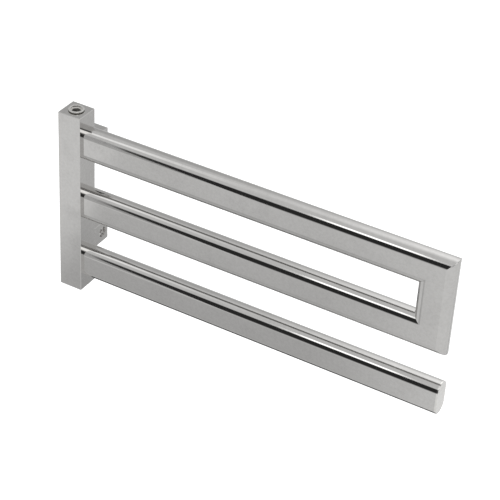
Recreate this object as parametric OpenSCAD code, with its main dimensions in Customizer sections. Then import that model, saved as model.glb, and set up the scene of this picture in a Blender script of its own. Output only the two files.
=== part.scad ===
// Wall-hung electric towel rail: one square post at the left and three flat-oval bars.
// The top and middle bars are joined by a mitred end bar into a U, the bottom bar is free.
// Frame: +X along the bars, -Y towards the room, +Z up. The origin is the lower wall screw
// hole, on its axis and in the plane of the wall.

/* [Bars] */
// Overall length, from the post's outer side to the bar ends
rail_length = 500; // [400:10:900]
// Height of a bar's section
bar_height = 42; // [38:1:50]
// Depth of a bar's section, from front to back
bar_depth = 22; // [17:0.5:24]
// Radius of a bar's four long edges
bar_edge_r = 10.5; // [3:0.5:10.5]
// Wall of the bar tube
bar_wall = 1.5; // [1:0.1:2]
// Thickness of the plate that closes the free end of the bottom bar
bar_cap_t = 2; // [1:0.5:4]

/* [Post] */
// Width of the square post, along the bars
post_width = 30; // [29:1:40]
// Depth of the square post
post_depth = 30; // [29:1:40]
// Height of the post with its end plates
post_height = 240; // [234:2:400]
// Length of the post above the top bar and below the bottom bar
post_overhang = 17; // [12:1:30]
// Wall of the post tube
post_wall = 1.5; // [1:0.1:2]
// Radius of the post's long edges
post_edge_r = 0.5; // [0.2:0.1:1.4]
// Thickness of the plates at the top and foot of the post
post_plate_t = 2; // [1.5:0.1:3]
// Distance from the ends of each cable passage to the edges of its bar
passage_end_margin = 5; // [4:0.5:5.5]
// Distance from the sides of each cable passage to the faces of its bar
passage_side_margin = 4.5; // [3:0.5:5.5]

/* [Brackets] */
// Height of the lower bracket's middle above the post's foot
bracket_foot = 60; // [50:1:70]
// Distance from the post's top to the upper bracket's middle
bracket_top = 52; // [40:1:70]
// Distance from the wall to the back of the post
bracket_reach = 27; // [26:1:50]
// Height of a bracket block
bracket_height = 27; // [26:1:40]
// Diameter of the wall spigot
spigot_d = 14; // [13:0.5:16]
// Length of the wall spigot, with its flange
spigot_length = 20; // [18:0.5:24]
// Diameter of the spigot's flange
spigot_flange_d = 22; // [20:0.5:23]
// Thickness of the spigot's flange
spigot_flange_t = 3; // [2:0.1:3.5]
// Diameter of the hole for the wall screw
wall_screw_d = 5.2; // [4:0.1:6]
// Diameter of the lock screw's head
lock_head_d = 12.4; // [10:0.1:12.6]
// Thickness of the lock screw's head
lock_head_t = 3; // [2:0.1:3.5]
// Diameter of the lock screw's thread
lock_thread_d = 6; // [4:0.5:7]
// Depth of the lock screw's head below the side of the bracket
lock_recess = 2.5; // [1:0.1:2.5]
// Distance from the wall to the lock screw's axis
lock_from_wall = 11; // [10.6:0.1:12]

/* [Cable inlet] */
// Distance from the inlet bush's flange to the edges of the top plate
inlet_margin = 5.7; // [4.8:0.1:6]
// Thickness of the inlet bush's flange
inlet_flange_t = 1.2; // [0.8:0.1:3]
// Width of the flange outside the inlet bush's thread
inlet_lip = 1.3; // [1:0.1:1.5]
// Length of the inlet bush's thread under the top plate
inlet_thread_length = 8; // [6:0.5:9]
// Wall of the bush round its mouth
inlet_wall = 1.2; // [0.8:0.1:1.5]
// Depth of the bush's mouth
inlet_mouth_depth = 2.5; // [2:0.5:5]
// Width of the shoulder at the foot of the mouth
inlet_shoulder = 1.8; // [1.5:0.1:3]
// Height of the sealing ring between the flange and the top plate
inlet_seal_t = 1; // [1:0.1:2]
// Clearance between the corners of the nut under the top plate and the post
inlet_nut_gap = 0.8; // [0.4:0.1:1]
// Thickness of the nut under the top plate
inlet_nut_t = 4; // [3:0.5:5]

/* [Heating] */
// Diameter of the heating cable
cable_d = 4.5; // [3.5:0.5:5]
// Radius of the cable's bends in the post and in the mitred corners
cable_bend_r = 14; // [12:0.5:15]
// Distance from the two runs of cable in the bottom bar to its tube's wall
hairpin_margin = 7.5; // [7:0.5:8.5]
// Length of each heat saddle, along its bar
saddle_length = 12; // [6:1:30]
// Clearance at each side of the terminal block
terminal_side_gap = 2.5; // [1.5:0.1:3]
// Depth of the terminal block
terminal_depth = 18; // [17.5:0.5:20]
// Height of the terminal block
terminal_height = 20; // [16:1:22]
// Distance from the outer poles to the sides of the terminal block
pole_wall = 3.5; // [3.2:0.1:3.8]
// Length of the thermal cut-out
cutout_length = 19; // [14:1:20]
// Width of the thermal cut-out
cutout_width = 7.6; // [6:0.2:9]
// Thickness of the thermal cut-out
cutout_t = 4; // [3:0.2:5]
// Thickness of the chassis strip that carries the wiring
chassis_t = 1.2; // [0.8:0.1:1.5]
// Clearance at each side of the chassis strip
chassis_side_gap = 1.5; // [1:0.1:2.5]

/* [Hidden] */
$fn = 64;

// Clearances and the overrun of every cut
fit_gap = 0.3;
slide_gap = 0.15;
overrun = 5;

// Places along X
post_side = post_width / 2;
bar_end = rail_length - post_side;
mitre_inner = bar_end - bar_height;
end_bar_x = bar_end - bar_height / 2;

// Places along Y: the wall is at zero
post_back = -bracket_reach;
post_front = post_back - post_depth;
post_mid = (post_back + post_front) / 2;
post_inner_back = post_back - post_wall;
chassis_face = post_inner_back - chassis_t;

// Places along Z: the lower wall screw is at zero
foot_z = -bracket_foot;
bar_pitch = (post_height - bar_height) / 2 - post_overhang;
bracket_pitch = post_height - bracket_foot - bracket_top;
top_z = foot_z + post_height;
mid_z = foot_z + post_height / 2;
bar_zs = [mid_z - bar_pitch, mid_z, mid_z + bar_pitch];
tube_low = foot_z + post_plate_t;
tube_high = top_z - post_plate_t;

// Sections
passage_height = bar_height - 2 * passage_end_margin;
passage_width = bar_depth - 2 * passage_side_margin;
bar_r = min(bar_edge_r, bar_depth / 2 - bar_wall / 3);
bar_bore_r = bar_r - bar_wall;
post_bore_w = post_width - 2 * post_wall;
post_bore_d = post_depth - 2 * post_wall;
hex_share = 1 / cos(30);

// Foot of the post
anchor_depth = 12;
anchor_t = 6;
anchor_top = tube_low + anchor_t;
foot_thread_d = 4;
foot_head_d = 8;
foot_nut_t = 3.2;
foot_nut_af = 7;
chassis_foot = post_front + post_wall + chassis_side_gap;

// Brackets
spigot_groove_depth = 1;
spigot_groove_r = spigot_d / 2 - spigot_groove_depth;
spigot_groove_w = lock_thread_d + spigot_groove_depth;
lock_bore_d = lock_head_d + 2 * fit_gap;
lock_seat_x = post_side - lock_recess - lock_head_t;
lock_socket_af = 5;
lock_socket_depth = 2;

// Inlet bush and the nut that holds it
inlet_flange_d = min(post_width, post_depth) - 2 * inlet_margin;
inlet_thread_d = inlet_flange_d - 2 * inlet_lip;
inlet_mouth_d = inlet_thread_d - 2 * inlet_wall;
inlet_bore_d = inlet_mouth_d - 2 * inlet_shoulder;
inlet_nut_af = (min(post_bore_w, post_bore_d) - 2 * inlet_nut_gap) / hex_share;
inlet_seat = top_z + inlet_seal_t;
inlet_top = inlet_seat + inlet_flange_t;
seal_inner_r = inlet_thread_d / 2 + slide_gap;
seal_outer_r = inlet_flange_d / 2 + slide_gap;
seal_crown_share = 1.15;

// Terminal block and what is wired to it
chassis_width = post_bore_w - 2 * chassis_side_gap;
terminal_width = post_bore_w - 2 * terminal_side_gap;
pole_pitch = terminal_width / 2 - pole_wall;
terminal_z = mid_z + bar_pitch / 2;
terminal_top = terminal_z + terminal_height / 2;
terminal_foot = terminal_z - terminal_height / 2;
terminal_front = chassis_face - terminal_depth;
pole_bore_d = 3.2;
pole_screw_d = 2.6;
pole_screw_up = 5;
pole_screw_length = 3;
fixing_d = 2.5;
fixing_head_d = 4;
fixing_head_t = 1.6;
slot_w = 0.6;
slot_depth = 0.8;
ferrule_pin_d = 2.4;
ferrule_pin_length = 7;
ferrule_collar_length = 4;
lead_d = 1.6;
lead_bend_r = 3.5;

// Thermal cut-out
cutout_drop = 9;
cutout_top = terminal_foot - cutout_drop;
cutout_foot = cutout_top - cutout_length;
cutout_z = (cutout_top + cutout_foot) / 2;
strap_t = 0.6;
strap_length = 8;
strap_foot = 4;
rivet_d = 2.4;
rivet_head_d = 3.6;
rivet_head_t = 0.8;

// Earth stud
earth_rise = 9;
earth_z = terminal_top + earth_rise;
earth_d = 4;
earth_length = 9;
washer_d = 8;
washer_t = 0.8;
earth_margin = 1;
earth_x = earth_margin + washer_d / 2 - chassis_width / 2;
earth_nut_af = 7;
earth_nut_t = 3.2;

// Cable routing: the start pole is the middle one, and the cable ends at the left one
hairpin_half = bar_height / 2 - bar_wall - hairpin_margin;
cable_start_z = terminal_top + ferrule_collar_length;
cable_stop_z = terminal_foot - ferrule_collar_length;
drop_x = 1.2;
hairpin_end = bar_end - bar_cap_t - hairpin_half - cable_d;
bend_steps = 6;
cable_sides = 10;

// Saddle places, as shares of the bar's straight length
loop_saddle_shares = [0.14, 0.5, 0.86];
hairpin_saddle_shares = [0.12, 0.47, 0.82];

// Filled rectangle with round corners, made of squares and circles so that its arcs stay true
module rounded_rect(w, h, r) {
    square([w - 2 * r, h], center = true);
    square([w, h - 2 * r], center = true);
    for (sx = [-1, 1], sy = [-1, 1])
        translate([sx * (w / 2 - r), sy * (h / 2 - r)]) circle(r = r);
}

// Slot with round ends, its long side along the second axis
module slot_2d(w, h) {
    square([w, h - w], center = true);
    for (s = [-1, 1]) translate([0, s * (h - w) / 2]) circle(d = w);
}

// Turns a drawing in the YZ plane so that it is extruded along +X from x
module along_x(x, length) {
    translate([x, 0, 0]) rotate([90, 0, 90]) linear_extrude(length) children();
}

// Cylinder along +Y, from y
module round_y(y, length, d) {
    translate([0, y, 0]) rotate([-90, 0, 0]) cylinder(d = d, h = length);
}

// Cylinder along +X, from x
module round_x(x, length, d) {
    translate([x, 0, 0]) rotate([0, 90, 0]) cylinder(d = d, h = length);
}

// Hexagonal prism along +Z with its size across flats
module hex_prism(af, h) {
    cylinder(d = af * hex_share, h = h, $fn = 6);
}

// Countersunk screw along +Z with its head's face at the origin
module countersunk_screw(d, head_d, length) {
    head_t = (head_d - d) / 2;
    difference() {
        union() {
            cylinder(d1 = head_d, d2 = d, h = head_t);
            cylinder(d = d, h = length);
        }
        translate([0, 0, -overrun]) hex_prism(d / 2, overrun + head_t / 2);
    }
}

// Tube of a bar, with its section in the YZ plane, from x0 to x1 at height z
module bar_tube(x0, x1, z) {
    difference() {
        along_x(x0, x1 - x0) translate([post_mid, z]) rounded_rect(bar_depth, bar_height, bar_r);
        along_x(x0 - overrun, x1 - x0 + 2 * overrun) translate([post_mid, z])
            rounded_rect(bar_depth - 2 * bar_wall, bar_height - 2 * bar_wall, bar_bore_r);
    }
}

// Prism that cuts a mitre at the corner round height z. outside is 1 where the bars' outer
// corner is above z and -1 where it is below; end is 1 to cut what lies past the mitre and
// -1 to cut what lies on the horizontal bar's side.
module mitre_cut(z, outside, end) {
    inner = [mitre_inner - overrun, z - outside * (bar_height / 2 + overrun)];
    outer = [bar_end + overrun, z + outside * (bar_height / 2 + overrun)];
    third = end > 0 ? [outer[0], inner[1]] : [inner[0], outer[1]];
    translate([0, post_mid, 0]) rotate([90, 0, 0])
        linear_extrude(bar_depth + 2 * overrun, center = true) polygon([inner, outer, third]);
}

// Post: the tube, its plates and what closes its foot

module post_tube() {
    color("silver") difference() {
        translate([0, post_mid, tube_low]) linear_extrude(tube_high - tube_low)
            rounded_rect(post_width, post_depth, post_edge_r);
        translate([0, post_mid, tube_low - overrun])
            linear_extrude(tube_high - tube_low + 2 * overrun)
            square([post_bore_w, post_bore_d], center = true);
        for (z = bar_zs)
            along_x(post_side - 2 * post_wall, 3 * post_wall)
                translate([post_mid, z]) slot_2d(passage_width, passage_height);
    }
}

module post_top_plate() {
    color("silver") translate([0, post_mid, tube_high]) difference() {
        linear_extrude(post_plate_t) rounded_rect(post_width, post_depth, post_edge_r);
        translate([0, 0, -overrun])
            cylinder(d = inlet_thread_d + 2 * slide_gap, h = post_plate_t + 2 * overrun);
    }
}

module foot_anchor_bar() {
    color("gray") translate([0, post_mid, tube_low]) difference() {
        translate([-post_bore_w / 2, -anchor_depth / 2, 0])
            cube([post_bore_w, anchor_depth, anchor_t]);
        translate([0, 0, -overrun])
            cylinder(d = foot_thread_d + 2 * slide_gap, h = anchor_t + 2 * overrun);
    }
}

module foot_cover() {
    head_t = (foot_head_d - foot_thread_d) / 2;
    color("silver") translate([0, post_mid, foot_z]) difference() {
        linear_extrude(post_plate_t) rounded_rect(post_width, post_depth, post_edge_r);
        translate([0, 0, -overrun])
            cylinder(d = foot_thread_d + 2 * slide_gap, h = post_plate_t + 2 * overrun);
        cylinder(d1 = foot_head_d + 2 * slide_gap, d2 = foot_thread_d + 2 * slide_gap, h = head_t);
    }
}

module foot_cover_screw() {
    length = post_plate_t + anchor_t + chassis_t + foot_nut_t;
    color("dimgray") translate([0, post_mid, foot_z])
        countersunk_screw(foot_thread_d, foot_head_d, length);
}

// Bars

module top_bar() {
    color("gainsboro") difference() {
        bar_tube(post_side, bar_end, bar_zs[2]);
        mitre_cut(bar_zs[2], 1, 1);
    }
}

module middle_bar() {
    color("gainsboro") difference() {
        bar_tube(post_side, bar_end, bar_zs[1]);
        mitre_cut(bar_zs[1], -1, 1);
    }
}

module end_bar() {
    low = bar_zs[1] - bar_height / 2;
    length = bar_pitch + bar_height;
    color("gainsboro") difference() {
        translate([end_bar_x, post_mid, low]) linear_extrude(length)
            rounded_rect(bar_height, bar_depth, bar_r);
        translate([end_bar_x, post_mid, low - overrun]) linear_extrude(length + 2 * overrun)
            rounded_rect(bar_height - 2 * bar_wall, bar_depth - 2 * bar_wall, bar_bore_r);
        mitre_cut(bar_zs[2], 1, -1);
        mitre_cut(bar_zs[1], -1, -1);
    }
}

module bottom_bar() {
    color("gainsboro") bar_tube(post_side, bar_end - bar_cap_t, bar_zs[0]);
}

module bottom_bar_cap() {
    color("silver") along_x(bar_end - bar_cap_t, bar_cap_t) translate([post_mid, bar_zs[0]])
        rounded_rect(bar_depth, bar_height, bar_r);
}

// Cable inlet in the top plate

module inlet_bush() {
    foot = tube_high - inlet_thread_length;
    color("silver") translate([0, post_mid, 0]) difference() {
        union() {
            translate([0, 0, inlet_seat]) cylinder(d = inlet_flange_d, h = inlet_flange_t);
            translate([0, 0, foot]) cylinder(d = inlet_thread_d, h = inlet_seat - foot);
        }
        translate([0, 0, inlet_top - inlet_mouth_depth])
            cylinder(d = inlet_mouth_d, h = inlet_mouth_depth + overrun);
        translate([0, 0, foot - overrun])
            cylinder(d = inlet_bore_d, h = inlet_top - foot + 2 * overrun);
    }
}

module inlet_seal_ring() {
    section_w = seal_outer_r - seal_inner_r;
    color("black") translate([0, post_mid, top_z]) rotate_extrude()
        translate([(seal_inner_r + seal_outer_r) / 2, inlet_seal_t / 2]) intersection() {
            circle(d = max(section_w, inlet_seal_t) * seal_crown_share);
            square([section_w, inlet_seal_t], center = true);
        }
}

module inlet_lock_nut() {
    color("gray") translate([0, post_mid, tube_high - inlet_nut_t]) difference() {
        hex_prism(inlet_nut_af, inlet_nut_t);
        translate([0, 0, -overrun])
            cylinder(d = inlet_thread_d + 2 * slide_gap, h = inlet_nut_t + 2 * overrun);
    }
}

// Heating cable: a path of straight runs and quarter bends in the plane of the bars

// Points of a bend in the XZ plane from angle a0 to a1 round (cx, cz)
function bend(cx, cz, r, a0, a1) = [for (i = [0:bend_steps])
    let (a = a0 + (a1 - a0) * i / bend_steps) [cx + r * cos(a), post_mid, cz + r * sin(a)]];

function heating_path() =
    let (r = cable_bend_r, low = bar_zs[0], low_r = hairpin_half, end_x = end_bar_x,
        low_top = low + hairpin_half, low_foot = low - hairpin_half)
    concat(
        [[0, post_mid, cable_start_z]],
        bend(r, bar_zs[2] - r, r, 180, 90),
        bend(end_x - r, bar_zs[2] - r, r, 90, 0),
        bend(end_x - r, bar_zs[1] + r, r, 0, -90),
        bend(drop_x + r, bar_zs[1] - r, r, 90, 180),
        bend(drop_x + r, low_top + r, r, 180, 270),
        bend(hairpin_end, low, low_r, 90, -90),
        bend(r - pole_pitch, low_foot + r, r, 270, 180),
        [[-pole_pitch, post_mid, cable_stop_z]]);

function unit(v) = v / norm(v);

// Tube round a path: a ring of corners at each point, square to the path there
module swept_tube(path, d, sides, side_axis) {
    last = len(path) - 1;
    rings = [for (i = [0:last])
        let (t = unit(path[min(i + 1, last)] - path[max(i - 1, 0)]),
            u = unit(cross(side_axis, t)), v = cross(t, u))
        for (k = [0:sides - 1]) path[i] + d / 2 * (cos(360 * k / sides) * u
            + sin(360 * k / sides) * v)];
    walls = [for (i = [0:last - 1], k = [0:sides - 1])
        let (a = i * sides + k, b = i * sides + (k + 1) % sides)
        [a, a + sides, b + sides, b]];
    first_end = [for (k = [0:sides - 1]) k];
    last_end = [for (k = [0:sides - 1]) last * sides + sides - 1 - k];
    polyhedron(rings, concat([first_end], walls, [last_end]));
}

module heating_cable() {
    color("darkred") swept_tube(heating_path(), cable_d, cable_sides, [0, 1, 0]);
}

module cable_ferrules() {
    color("goldenrod") {
        translate([0, post_mid, terminal_top - ferrule_pin_length])
            cylinder(d = ferrule_pin_d, h = ferrule_pin_length);
        translate([0, post_mid, terminal_top])
            cylinder(d = cable_d, h = ferrule_collar_length);
        translate([-pole_pitch, post_mid, terminal_foot])
            cylinder(d = ferrule_pin_d, h = ferrule_pin_length);
        translate([-pole_pitch, post_mid, cable_stop_z])
            cylinder(d = cable_d, h = ferrule_collar_length);
    }
}

// Section of a heat saddle: it fills a bar's bore but for the fitting gap
module saddle_2d() {
    rounded_rect(bar_depth - 2 * bar_wall - 2 * fit_gap, bar_height - 2 * bar_wall - 2 * fit_gap,
        bar_bore_r - fit_gap);
}

module loop_heat_saddles() {
    run = mitre_inner - post_side;
    color("lightsteelblue") {
        for (share = loop_saddle_shares, z = [bar_zs[1], bar_zs[2]])
            translate([0, post_mid, z]) difference() {
                along_x(post_side + share * run - saddle_length / 2, saddle_length) saddle_2d();
                round_x(post_side, run, cable_d + 2 * fit_gap);
            }
        translate([end_bar_x, post_mid, (bar_zs[1] + bar_zs[2]) / 2]) difference() {
            linear_extrude(saddle_length, center = true) rotate(90) saddle_2d();
            translate([0, 0, -saddle_length])
                cylinder(d = cable_d + 2 * fit_gap, h = 2 * saddle_length);
        }
    }
}

module hairpin_heat_saddles() {
    run = hairpin_end - post_side;
    color("lightsteelblue")
        for (share = hairpin_saddle_shares)
            translate([0, post_mid, bar_zs[0]]) difference() {
                along_x(post_side + share * run - saddle_length / 2, saddle_length) saddle_2d();
                for (s = [-1, 1]) translate([0, 0, s * hairpin_half])
                    round_x(post_side, run, cable_d + 2 * fit_gap);
            }
}

// Wiring chassis and what it carries

module wiring_chassis() {
    high = earth_z + washer_d;
    color("lightgray") difference() {
        union() {
            translate([-chassis_width / 2, chassis_face, anchor_top])
                cube([chassis_width, chassis_t, high - anchor_top]);
            translate([-chassis_width / 2, chassis_foot, anchor_top])
                cube([chassis_width, post_inner_back - chassis_foot, chassis_t]);
        }
        translate([0, post_mid, anchor_top - overrun])
            cylinder(d = foot_thread_d + 2 * slide_gap, h = 2 * overrun);
        for (s = [-1, 1]) {
            translate([s * pole_pitch / 2, 0, terminal_z])
                round_y(chassis_face - overrun, 2 * overrun, fixing_d + 2 * slide_gap);
            translate([s * (cutout_width / 2 + strap_t + strap_foot / 2), 0, cutout_z])
                round_y(chassis_face - overrun, 2 * overrun, rivet_d + 2 * slide_gap);
        }
        translate([earth_x, 0, earth_z])
            round_y(chassis_face - overrun, 2 * overrun, earth_d + 2 * slide_gap);
    }
}

module chassis_nut() {
    color("dimgray") translate([0, post_mid, anchor_top + chassis_t]) difference() {
        hex_prism(foot_nut_af, foot_nut_t);
        translate([0, 0, -overrun])
            cylinder(d = foot_thread_d + 2 * slide_gap, h = foot_nut_t + 2 * overrun);
    }
}

module terminal_block() {
    color("ivory") difference() {
        translate([-terminal_width / 2, terminal_front, terminal_foot])
            cube([terminal_width, terminal_depth, terminal_height]);
        for (i = [-1:1]) {
            translate([i * pole_pitch, post_mid, terminal_foot - overrun])
                cylinder(d = pole_bore_d, h = terminal_height + 2 * overrun);
            for (s = [-1, 1]) translate([i * pole_pitch, 0, terminal_z + s * pole_screw_up])
                round_y(terminal_front - overrun, post_mid - terminal_front + overrun,
                    pole_screw_d + 2 * slide_gap);
        }
        for (s = [-1, 1]) translate([s * pole_pitch / 2, 0, terminal_z]) {
            round_y(terminal_front - overrun, terminal_depth + 2 * overrun,
                fixing_d + 2 * slide_gap);
            round_y(terminal_front - overrun, fixing_head_t + overrun,
                fixing_head_d + 2 * slide_gap);
        }
    }
}

module terminal_fixing_screws() {
    length = terminal_depth + chassis_t - slide_gap;
    color("dimgray") for (s = [-1, 1]) translate([s * pole_pitch / 2, 0, terminal_z])
        difference() {
            union() {
                round_y(terminal_front, length, fixing_d);
                round_y(terminal_front, fixing_head_t, fixing_head_d);
            }
            translate([-fixing_head_d, terminal_front - overrun, -slot_w / 2])
                cube([2 * fixing_head_d, overrun + slot_depth, slot_w]);
        }
}

module terminal_clamp_screws() {
    tip = post_mid - ferrule_pin_d / 2 - fit_gap;
    color("goldenrod") for (i = [-1:1], s = [-1, 1])
        translate([i * pole_pitch, 0, terminal_z + s * pole_screw_up]) difference() {
            round_y(tip - pole_screw_length, pole_screw_length, pole_screw_d);
            translate([-pole_screw_d, tip - pole_screw_length - overrun, -slot_w / 2])
                cube([2 * pole_screw_d, overrun + slot_depth, slot_w]);
        }
}

module thermal_cutout() {
    color("white") translate([-cutout_width / 2, chassis_face - cutout_t, cutout_foot])
        cube([cutout_width, cutout_t, cutout_length]);
}

module cutout_strap() {
    half = cutout_width / 2;
    out = half + strap_t + strap_foot;
    face = chassis_face - cutout_t;
    color("silver") difference() {
        translate([0, 0, cutout_z]) linear_extrude(strap_length, center = true) polygon([
            [-out, chassis_face], [-out, chassis_face - strap_t],
            [-half - strap_t, chassis_face - strap_t], [-half - strap_t, face - strap_t],
            [half + strap_t, face - strap_t], [half + strap_t, chassis_face - strap_t],
            [out, chassis_face - strap_t], [out, chassis_face],
            [half, chassis_face], [half, face], [-half, face], [-half, chassis_face]]);
        for (s = [-1, 1]) translate([s * (half + strap_t + strap_foot / 2), 0, cutout_z])
            round_y(chassis_face - overrun, 2 * overrun, rivet_d + 2 * slide_gap);
    }
}

module cutout_rivets() {
    head_y = chassis_face - strap_t - rivet_head_t;
    color("gray") for (s = [-1, 1])
        translate([s * (cutout_width / 2 + strap_t + strap_foot / 2), 0, cutout_z]) {
            round_y(head_y, rivet_head_t, rivet_head_d);
            round_y(head_y, post_inner_back - slide_gap - head_y, rivet_d);
        }
}

// Points of a lead from the top of the cut-out forward and up into the pole at x1
function lead_path(x0, x1) =
    let (r = lead_bend_r, y0 = chassis_face - cutout_t / 2, turn = (cutout_top + terminal_foot) / 2)
    concat(
        [[x0, y0, cutout_top]],
        [for (i = [0:bend_steps]) let (a = 90 * i / bend_steps)
            [x0, y0 - r * (1 - cos(a)), turn - r + r * sin(a)]],
        [for (i = [0:bend_steps]) let (a = 90 * i / bend_steps)
            [x1, post_mid + r * (1 - sin(a)), turn + r * (1 - cos(a))]],
        [[x1, post_mid, terminal_z - pole_screw_up]]);

module cutout_leads() {
    color("firebrick") {
        swept_tube(lead_path(-cutout_width / 4, 0), lead_d, cable_sides, [1, 0, 0]);
        swept_tube(lead_path(cutout_width / 4, pole_pitch), lead_d, cable_sides, [1, 0, 0]);
    }
}

module earth_stud() {
    color("goldenrod") translate([earth_x, 0, earth_z])
        round_y(chassis_face - earth_length, earth_length + chassis_t - slide_gap, earth_d);
}

module earth_washer() {
    color("silver") translate([earth_x, 0, earth_z]) difference() {
        round_y(chassis_face - washer_t, washer_t, washer_d);
        round_y(chassis_face - overrun, 2 * overrun, earth_d + 2 * slide_gap);
    }
}

module earth_nut() {
    color("goldenrod") translate([earth_x, chassis_face - washer_t - earth_nut_t, earth_z])
        rotate([-90, 0, 0]) difference() {
            hex_prism(earth_nut_af, earth_nut_t);
            translate([0, 0, -overrun])
                cylinder(d = earth_d + 2 * slide_gap, h = earth_nut_t + 2 * overrun);
        }
}

// Wall brackets

module bracket_block() {
    bore_depth = spigot_length + fit_gap;
    difference() {
        translate([0, post_back, 0]) rotate([-90, 0, 0]) linear_extrude(bracket_reach)
            rounded_rect(post_width, bracket_height, post_edge_r);
        round_y(-spigot_flange_t - fit_gap, spigot_flange_t + fit_gap + overrun,
            spigot_flange_d + 2 * fit_gap);
        round_y(-bore_depth, bore_depth + overrun, spigot_d + 2 * slide_gap);
        translate([0, -lock_from_wall, 0]) {
            round_x(lock_seat_x, post_side, lock_bore_d);
            round_x(0, post_width, lock_thread_d + 2 * slide_gap);
        }
    }
}

module wall_spigot() {
    sink = wall_screw_d / 2;
    difference() {
        union() {
            round_y(-spigot_flange_t, spigot_flange_t, spigot_flange_d);
            round_y(-spigot_length, spigot_length, spigot_d);
        }
        round_y(-spigot_length - overrun, spigot_length + 2 * overrun, wall_screw_d);
        translate([0, -spigot_length, 0]) rotate([-90, 0, 0])
            cylinder(d1 = 2 * wall_screw_d, d2 = wall_screw_d, h = sink);
        translate([0, -lock_from_wall - spigot_groove_w / 2, 0]) rotate([-90, 0, 0])
            difference() {
                cylinder(d = 2 * spigot_d, h = spigot_groove_w);
                translate([0, 0, -overrun])
                    cylinder(r = spigot_groove_r, h = spigot_groove_w + 2 * overrun);
            }
    }
}

module lock_screw() {
    tip = spigot_groove_r + slide_gap;
    translate([0, -lock_from_wall, 0]) difference() {
        union() {
            round_x(lock_seat_x, lock_head_t, lock_head_d);
            round_x(tip, lock_seat_x - tip, lock_thread_d);
        }
        translate([lock_seat_x + lock_head_t - lock_socket_depth, 0, 0]) rotate([0, 90, 0])
            hex_prism(lock_socket_af, lock_socket_depth + overrun);
    }
}

module upper_bracket_block() {
    color("silver") translate([0, 0, bracket_pitch]) bracket_block();
}

module lower_bracket_block() {
    color("silver") bracket_block();
}

module upper_wall_spigot() {
    color("gray") translate([0, 0, bracket_pitch]) wall_spigot();
}

module lower_wall_spigot() {
    color("gray") wall_spigot();
}

module bracket_lock_screws() {
    color("dimgray") for (z = [0, bracket_pitch]) translate([0, 0, z]) lock_screw();
}

post_tube();
post_top_plate();
foot_anchor_bar();
foot_cover();
foot_cover_screw();
top_bar();
middle_bar();
end_bar();
bottom_bar();
bottom_bar_cap();
inlet_bush();
inlet_seal_ring();
inlet_lock_nut();
heating_cable();
cable_ferrules();
loop_heat_saddles();
hairpin_heat_saddles();
wiring_chassis();
chassis_nut();
terminal_block();
terminal_fixing_screws();
terminal_clamp_screws();
thermal_cutout();
cutout_strap();
cutout_rivets();
cutout_leads();
earth_stud();
earth_washer();
earth_nut();
upper_bracket_block();
lower_bracket_block();
upper_wall_spigot();
lower_wall_spigot();
bracket_lock_screws();
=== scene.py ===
"""The looks of a wall-hung electric towel rail, built round its packed construction.

Every shape is a skin: a row of closed rings of points, each with its own outward normals,
joined ring to ring. The rings come from a section carried along a straight run, from a
profile turned round an axis, or from the hull of a box with round edges.
"""
import math

import bpy
import numpy as np
from mathutils import Matrix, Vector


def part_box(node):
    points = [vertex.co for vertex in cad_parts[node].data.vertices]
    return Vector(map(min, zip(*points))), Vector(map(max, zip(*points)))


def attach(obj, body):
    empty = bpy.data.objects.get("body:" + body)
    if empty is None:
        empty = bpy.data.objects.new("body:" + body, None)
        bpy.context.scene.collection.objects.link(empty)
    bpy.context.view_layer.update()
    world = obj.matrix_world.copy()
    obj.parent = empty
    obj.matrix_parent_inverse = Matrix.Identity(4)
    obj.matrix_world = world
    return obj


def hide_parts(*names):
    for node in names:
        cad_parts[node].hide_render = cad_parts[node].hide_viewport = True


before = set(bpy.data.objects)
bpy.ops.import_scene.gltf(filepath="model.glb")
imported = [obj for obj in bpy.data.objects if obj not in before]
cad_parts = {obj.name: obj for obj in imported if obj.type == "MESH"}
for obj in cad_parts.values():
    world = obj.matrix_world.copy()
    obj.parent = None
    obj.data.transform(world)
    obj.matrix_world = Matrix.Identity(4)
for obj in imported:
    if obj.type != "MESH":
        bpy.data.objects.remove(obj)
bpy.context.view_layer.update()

MM = 0.001
MICRON = 0.000001
WELD_GAP = 1e-7
FULL_TURN = 2 * math.pi

# Sizes read from the frame
POST_LOW, POST_HIGH = (np.array(c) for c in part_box("post_tube"))
PLATE_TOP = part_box("post_top_plate")[1].z
FOOT_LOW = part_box("foot_cover")[0].z
TOP_LOW, TOP_HIGH = (np.array(c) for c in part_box("top_bar"))
MIDDLE_LOW, MIDDLE_HIGH = (np.array(c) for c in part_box("middle_bar"))
BOTTOM_LOW, BOTTOM_HIGH = (np.array(c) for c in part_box("bottom_bar"))
CAP_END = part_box("bottom_bar_cap")[1].x
BAR_HEIGHT = TOP_HIGH[2] - TOP_LOW[2]
BAR_DEPTH = TOP_HIGH[1] - TOP_LOW[1]
BAR_Y = (TOP_LOW[1] + TOP_HIGH[1]) / 2
BAR_ZS = [(low[2] + high[2]) / 2 for low, high in
          ((BOTTOM_LOW, BOTTOM_HIGH), (MIDDLE_LOW, MIDDLE_HIGH), (TOP_LOW, TOP_HIGH))]
BAR_ROOT = TOP_LOW[0]
BAR_END = TOP_HIGH[0]
POST_MID = (POST_LOW + POST_HIGH) / 2
POST_AXIS = (POST_MID[0], POST_MID[1], 0)

# Sizes of the surfaces
BAR_CORNER = 10.5 * MM
BAR_WALL = 1.5 * MM
BAR_ARC_STEPS = 24
MITRE_BLEND = 0.9 * MM
CAP_EDGE = 0.4 * MM
FINE_EDGE = 0.15 * MM
POST_CORNER = 0.5 * MM
POST_WALL = 1.5 * MM
POST_FLAT_STEPS = 12
POST_ARC_STEPS = 4
PLATE = PLATE_TOP - POST_HIGH[2]
PLATE_HOLE = 8.15 * MM
FOOT_BORE = 2.15 * MM
FOOT_RIM = 4.15 * MM
FOOT_THREAD = 2 * MM
FOOT_HEAD = 4 * MM
FOOT_SOCKET = 2 * MM
FOOT_SOCKET_DEPTH = 1 * MM

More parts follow.
